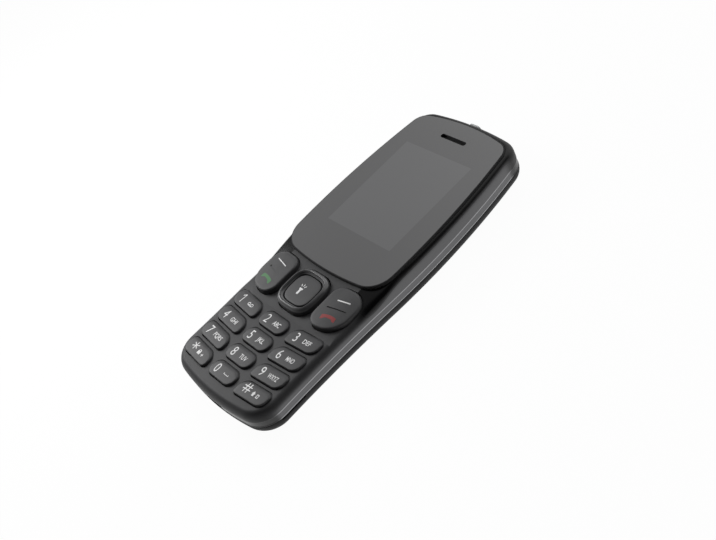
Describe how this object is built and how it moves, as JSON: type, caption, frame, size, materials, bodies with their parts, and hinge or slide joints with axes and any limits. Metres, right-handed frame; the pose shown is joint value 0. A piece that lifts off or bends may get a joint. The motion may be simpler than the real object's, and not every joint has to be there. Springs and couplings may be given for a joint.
{
  "type": "mobile phone",
  "caption": "Bar mobile phone with a colour display, a four-way navigation ring and a twelve-key number pad.",
  "frame": {"origin": "middle of the flat back face, under the centre of the body", "axes": "+Z out of the display, +Y towards the earpiece end, +X to the reader's right"},
  "size_m": [0.047, 0.1131, 0.013],
  "materials": {
    "housing_paint": "fine matt, near-black gloss on the shoulder",
    "band_satin": "satin grey, lit edges",
    "cover_matte": "fine matt",
    "lens_panel": "clear hard coat over grey",
    "key_plastic": "fine matt with printed legends",
    "nav_satin": "satin",
    "chassis_black": "moulded",
    "silicone": "matt",
    "sheet_steel": "pressed, tinned",
    "board_green": "solder mask",
    "film_amber": "polyimide film",
    "display_glass": "polished",
    "foam_black": "closed-cell foam",
    "clear_lens": "polished",
    "led_white": "moulded, phosphor face",
    "battery_wrap": "film label without print",
    "contact_gold": "gold flash",
    "window_glass": "polished"
  },
  "bodies": {
    "housing": {"front_housing": "housing_paint", "side_band": "band_satin", "rear_housing": "chassis_black", "display_lens": "lens_panel", "lens_adhesive": "foam_black", "earpiece_mesh": "sheet_steel", "lcd_frame": "sheet_steel", "lcd_glass": "display_glass", "lcd_flex": "film_amber", "keypad_mat": "silicone", "dome_sheet": "sheet_steel", "main_board": "board_green", "shield_cans": "sheet_steel", "battery_contacts": "contact_gold", "sim_holders": "sheet_steel", "memory_card_holder": "sheet_steel", "audio_jack": "chassis_black", "usb_socket": "sheet_steel", "receiver": "sheet_steel", "loudspeaker": "chassis_black", "speaker_gasket": "foam_black", "microphone": "sheet_steel", "torch_led": "led_white", "torch_lens": "clear_lens", "camera_module": "chassis_black", "vibration_motor": "sheet_steel", "antenna": "chassis_black", "housing_screws": "sheet_steel"},
    "rear_cover": {"rear_cover": "cover_matte", "camera_window": "window_glass"},
    "battery": {"battery": "battery_wrap"},
    "nav_carrier": {"nav_carrier": "silicone"},
    "nav_ring": {"nav_ring": "nav_satin"},
    "nav_center_key": {"nav_center_key": "key_plastic"},
    "left_function_key": {"left_function_key": "key_plastic"},
    "right_function_key": {"right_function_key": "key_plastic"},
    "motor_weight": {"motor_weight": "sheet_steel"},
    "key_1": {"key_1": "key_plastic"},
    "key_2": {"key_2": "key_plastic"},
    "key_3": {"key_3": "key_plastic"},
    "key_4": {"key_4": "key_plastic"},
    "key_5": {"key_5": "key_plastic"},
    "key_6": {"key_6": "key_plastic"},
    "key_7": {"key_7": "key_plastic"},
    "key_8": {"key_8": "key_plastic"},
    "key_9": {"key_9": "key_plastic"},
    "key_star": {"key_star": "key_plastic"},
    "key_0": {"key_0": "key_plastic"},
    "key_hash": {"key_hash": "key_plastic"}
  },
  "joints": [
    {"name": "key_1_press", "type": "slide", "parent": "housing", "child": "key_1", "axis": [0, 0, -1], "range_m": [0, 0.00025], "stiffness_N_per_m": 900},
    {"name": "key_2_press", "type": "slide", "parent": "housing", "child": "key_2", "axis": [0, 0, -1], "range_m": [0, 0.00025], "stiffness_N_per_m": 900},
    {"name": "key_3_press", "type": "slide", "parent": "housing", "child": "key_3", "axis": [0, 0, -1], "range_m": [0, 0.00025], "stiffness_N_per_m": 900},
    {"name": "key_4_press", "type": "slide", "parent": "housing", "child": "key_4", "axis": [0, 0, -1], "range_m": [0, 0.00025], "stiffness_N_per_m": 900},
    {"name": "key_5_press", "type": "slide", "parent": "housing", "child": "key_5", "axis": [0, 0, -1], "range_m": [0, 0.00025], "stiffness_N_per_m": 900},
    {"name": "key_6_press", "type": "slide", "parent": "housing", "child": "key_6", "axis": [0, 0, -1], "range_m": [0, 0.00025], "stiffness_N_per_m": 900},
    {"name": "key_7_press", "type": "slide", "parent": "housing", "child": "key_7", "axis": [0, 0, -1], "range_m": [0, 0.00025], "stiffness_N_per_m": 900},
    {"name": "key_8_press", "type": "slide", "parent": "housing", "child": "key_8", "axis": [0, 0, -1], "range_m": [0, 0.00025], "stiffness_N_per_m": 900},
    {"name": "key_9_press", "type": "slide", "parent": "housing", "child": "key_9", "axis": [0, 0, -1], "range_m": [0, 0.00025], "stiffness_N_per_m": 900},
    {"name": "key_star_press", "type": "slide", "parent": "housing", "child": "key_star", "axis": [0, 0, -1], "range_m": [0, 0.00025], "stiffness_N_per_m": 900},
    {"name": "key_0_press", "type": "slide", "parent": "housing", "child": "key_0", "axis": [0, 0, -1], "range_m": [0, 0.00025], "stiffness_N_per_m": 900},
    {"name": "key_hash_press", "type": "slide", "parent": "housing", "child": "key_hash", "axis": [0, 0, -1], "range_m": [0, 0.00025], "stiffness_N_per_m": 900},
    {"name": "left_function_key_rock", "type": "hinge", "parent": "housing", "child": "left_function_key", "pos_m": [-0.01485, -0.0169, 0.0095], "axis": [1, 0, 0], "range_deg": [-1.4, 1.4], "stiffness_Nm_per_rad": 0.3},
    {"name": "right_function_key_rock", "type": "hinge", "parent": "housing", "child": "right_function_key", "pos_m": [0.01485, -0.0169, 0.0095], "axis": [1, 0, 0], "range_deg": [-1.4, 1.4], "stiffness_Nm_per_rad": 0.3},
    {"name": "nav_carrier_rock", "type": "hinge", "parent": "housing", "child": "nav_carrier", "pos_m": [0, -0.01755, 0.0092], "axis": [1, 0, 0], "range_deg": [-1.2, 1.2], "stiffness_Nm_per_rad": 0.3},
    {"name": "nav_ring_rock", "type": "hinge", "parent": "nav_carrier", "child": "nav_ring", "pos_m": [0, -0.01755, 0.0092], "axis": [0, 1, 0], "range_deg": [-1.2, 1.2], "stiffness_Nm_per_rad": 0.3},
    {"name": "nav_center_key_press", "type": "slide", "parent": "housing", "child": "nav_center_key", "axis": [0, 0, -1], "range_m": [0, 0.00025], "stiffness_N_per_m": 900},
    {"name": "rear_cover_release", "type": "slide", "parent": "housing", "child": "rear_cover", "axis": [0, 0, -1], "range_m": [0, 0.024]},
    {"name": "battery_release", "type": "slide", "parent": "housing", "child": "battery", "axis": [0, 0, -1], "range_m": [0, 0.012]},
    {"name": "motor_spin", "type": "hinge", "parent": "housing", "child": "motor_weight", "pos_m": [-0.016, 0.041, 0.0039], "axis": [1, 0, 0], "continuous": true}
  ],
  "couplings": [
    {"joint": "battery_release", "follows": "rear_cover_release", "ratio": 0.5}
  ]
}
